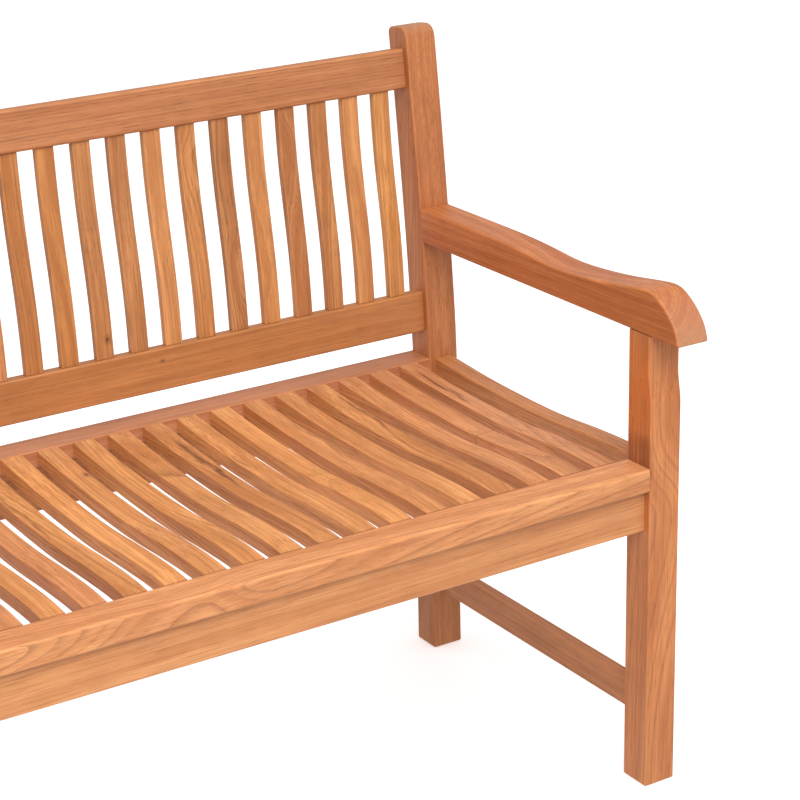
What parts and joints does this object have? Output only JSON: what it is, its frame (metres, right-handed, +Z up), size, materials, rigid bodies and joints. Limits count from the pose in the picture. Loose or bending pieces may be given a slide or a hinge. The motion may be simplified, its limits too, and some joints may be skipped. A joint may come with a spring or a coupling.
{
  "type": "garden bench",
  "caption": "Wooden garden bench with a dished seat and a leaning back of narrow slats, scrolled arms, square legs and side stretchers, joined by tenons.",
  "frame": {"origin": "centre of the footprint, on the ground under the feet", "axes": "+Z up, +X along the bench to the right as seen from the front, -Y the way the bench faces"},
  "size_m": [1.2, 0.6274, 0.8999],
  "materials": {
    "frame_teak": "satin",
    "arm_teak": "satin",
    "board_teak": "satin",
    "rail_teak": "satin",
    "slat_teak": "satin"
  },
  "bodies": {
    "root": {"front_leg_left": "frame_teak", "front_leg_right": "frame_teak", "back_post_left": "frame_teak", "back_post_right": "frame_teak", "arm_left": "arm_teak", "arm_right": "arm_teak", "side_seat_rail_left": "rail_teak", "side_seat_rail_right": "rail_teak", "side_stretcher_left": "rail_teak", "side_stretcher_right": "rail_teak", "front_seat_board": "board_teak", "front_apron": "board_teak", "rear_seat_rail": "rail_teak", "rear_apron": "rail_teak", "lower_back_rail": "rail_teak", "top_back_rail": "rail_teak", "seat_slat_01": "slat_teak", "seat_slat_02": "slat_teak", "seat_slat_03": "slat_teak", "seat_slat_04": "slat_teak", "seat_slat_05": "slat_teak", "seat_slat_06": "slat_teak", "seat_slat_07": "slat_teak", "seat_slat_08": "slat_teak", "seat_slat_09": "slat_teak", "seat_slat_10": "slat_teak", "seat_slat_11": "slat_teak", "seat_slat_12": "slat_teak", "seat_slat_13": "slat_teak", "seat_slat_14": "slat_teak", "seat_slat_15": "slat_teak", "seat_slat_16": "slat_teak", "seat_slat_17": "slat_teak", "seat_slat_18": "slat_teak", "seat_slat_19": "slat_teak", "seat_slat_20": "slat_teak", "seat_slat_21": "slat_teak", "seat_slat_22": "slat_teak", "back_slat_01": "slat_teak", "back_slat_02": "slat_teak", "back_slat_03": "slat_teak", "back_slat_04": "slat_teak", "back_slat_05": "slat_teak", "back_slat_06": "slat_teak", "back_slat_07": "slat_teak", "back_slat_08": "slat_teak", "back_slat_09": "slat_teak", "back_slat_10": "slat_teak", "back_slat_11": "slat_teak", "back_slat_12": "slat_teak", "back_slat_13": "slat_teak", "back_slat_14": "slat_teak", "back_slat_15": "slat_teak", "back_slat_16": "slat_teak", "back_slat_17": "slat_teak", "back_slat_18": "slat_teak", "back_slat_19": "slat_teak", "back_slat_20": "slat_teak", "back_slat_21": "slat_teak", "back_slat_22": "slat_teak"}
  },
  "joints": []
}
